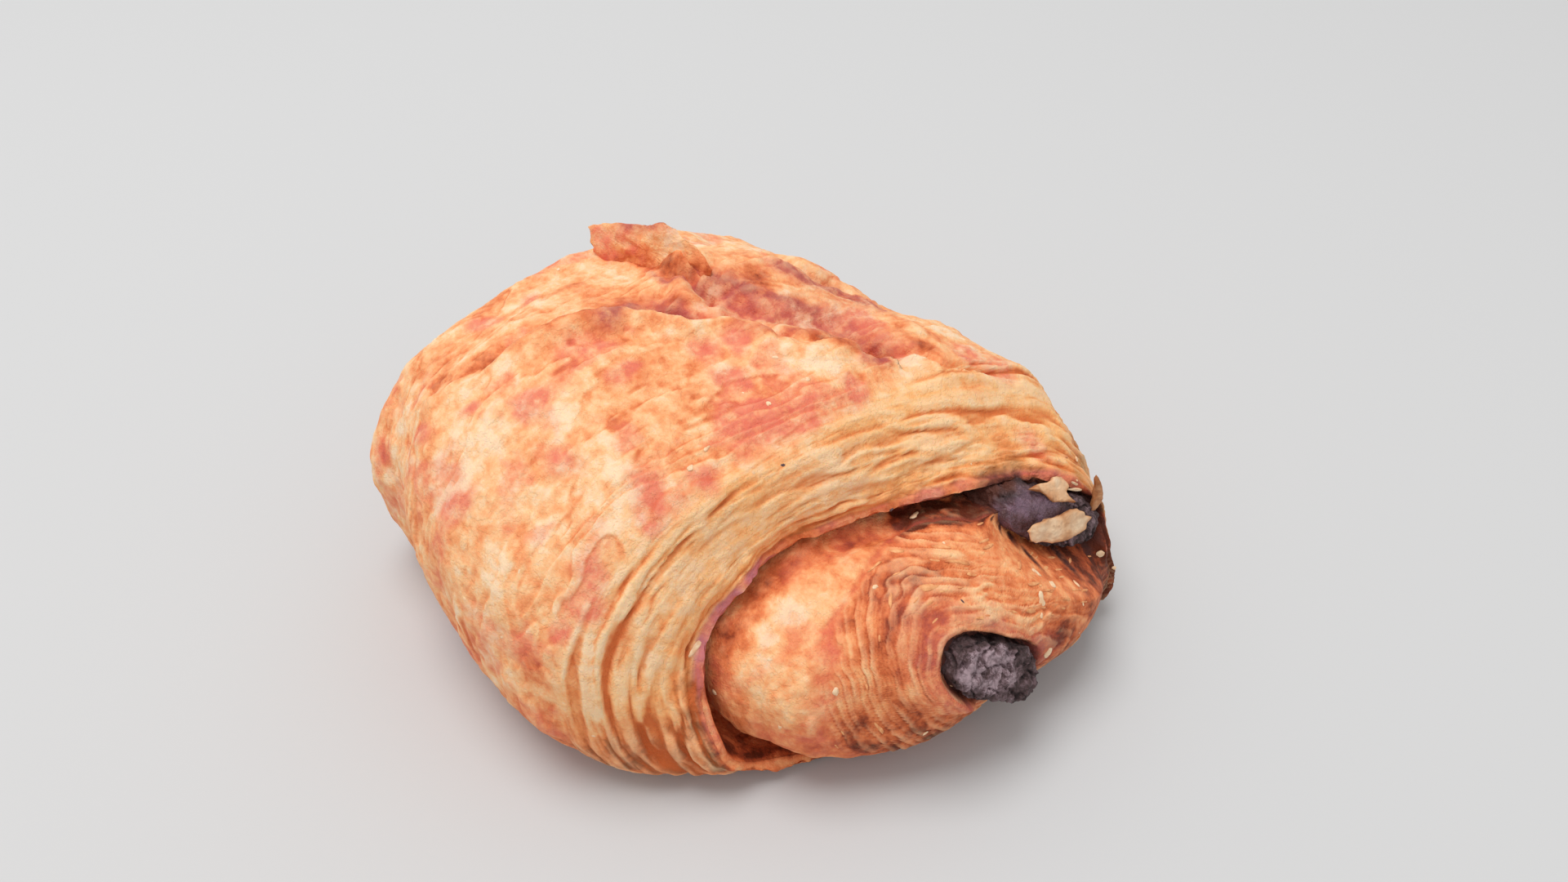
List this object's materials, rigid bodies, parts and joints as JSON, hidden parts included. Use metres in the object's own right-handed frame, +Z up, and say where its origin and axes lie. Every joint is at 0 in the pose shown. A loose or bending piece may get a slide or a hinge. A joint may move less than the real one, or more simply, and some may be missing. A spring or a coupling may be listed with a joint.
{
  "type": "pain au chocolat",
  "caption": "Rolled flaky pastry with dark chocolate batons running through it, an open lip of cut layers at one end and a flat underside to rest on.",
  "frame": {"origin": "bottom centre of the bounding box, on the flat underside", "axes": "+Z up, away from the face it rests on; +X along the roll and its chocolate, towards the open lip; +Y across the roll"},
  "size_m": [0.093, 0.0916, 0.0479],
  "materials": {
    "baked_dough": "baked laminated dough, satin with a thin egg glaze",
    "dark_chocolate": "baked dark chocolate, matte and crusted with a few glossy melted places"
  },
  "bodies": {
    "root": {"pastry": "baked_dough", "chocolate_baton_lower": "dark_chocolate", "chocolate_baton_upper": "dark_chocolate"}
  },
  "joints": []
}
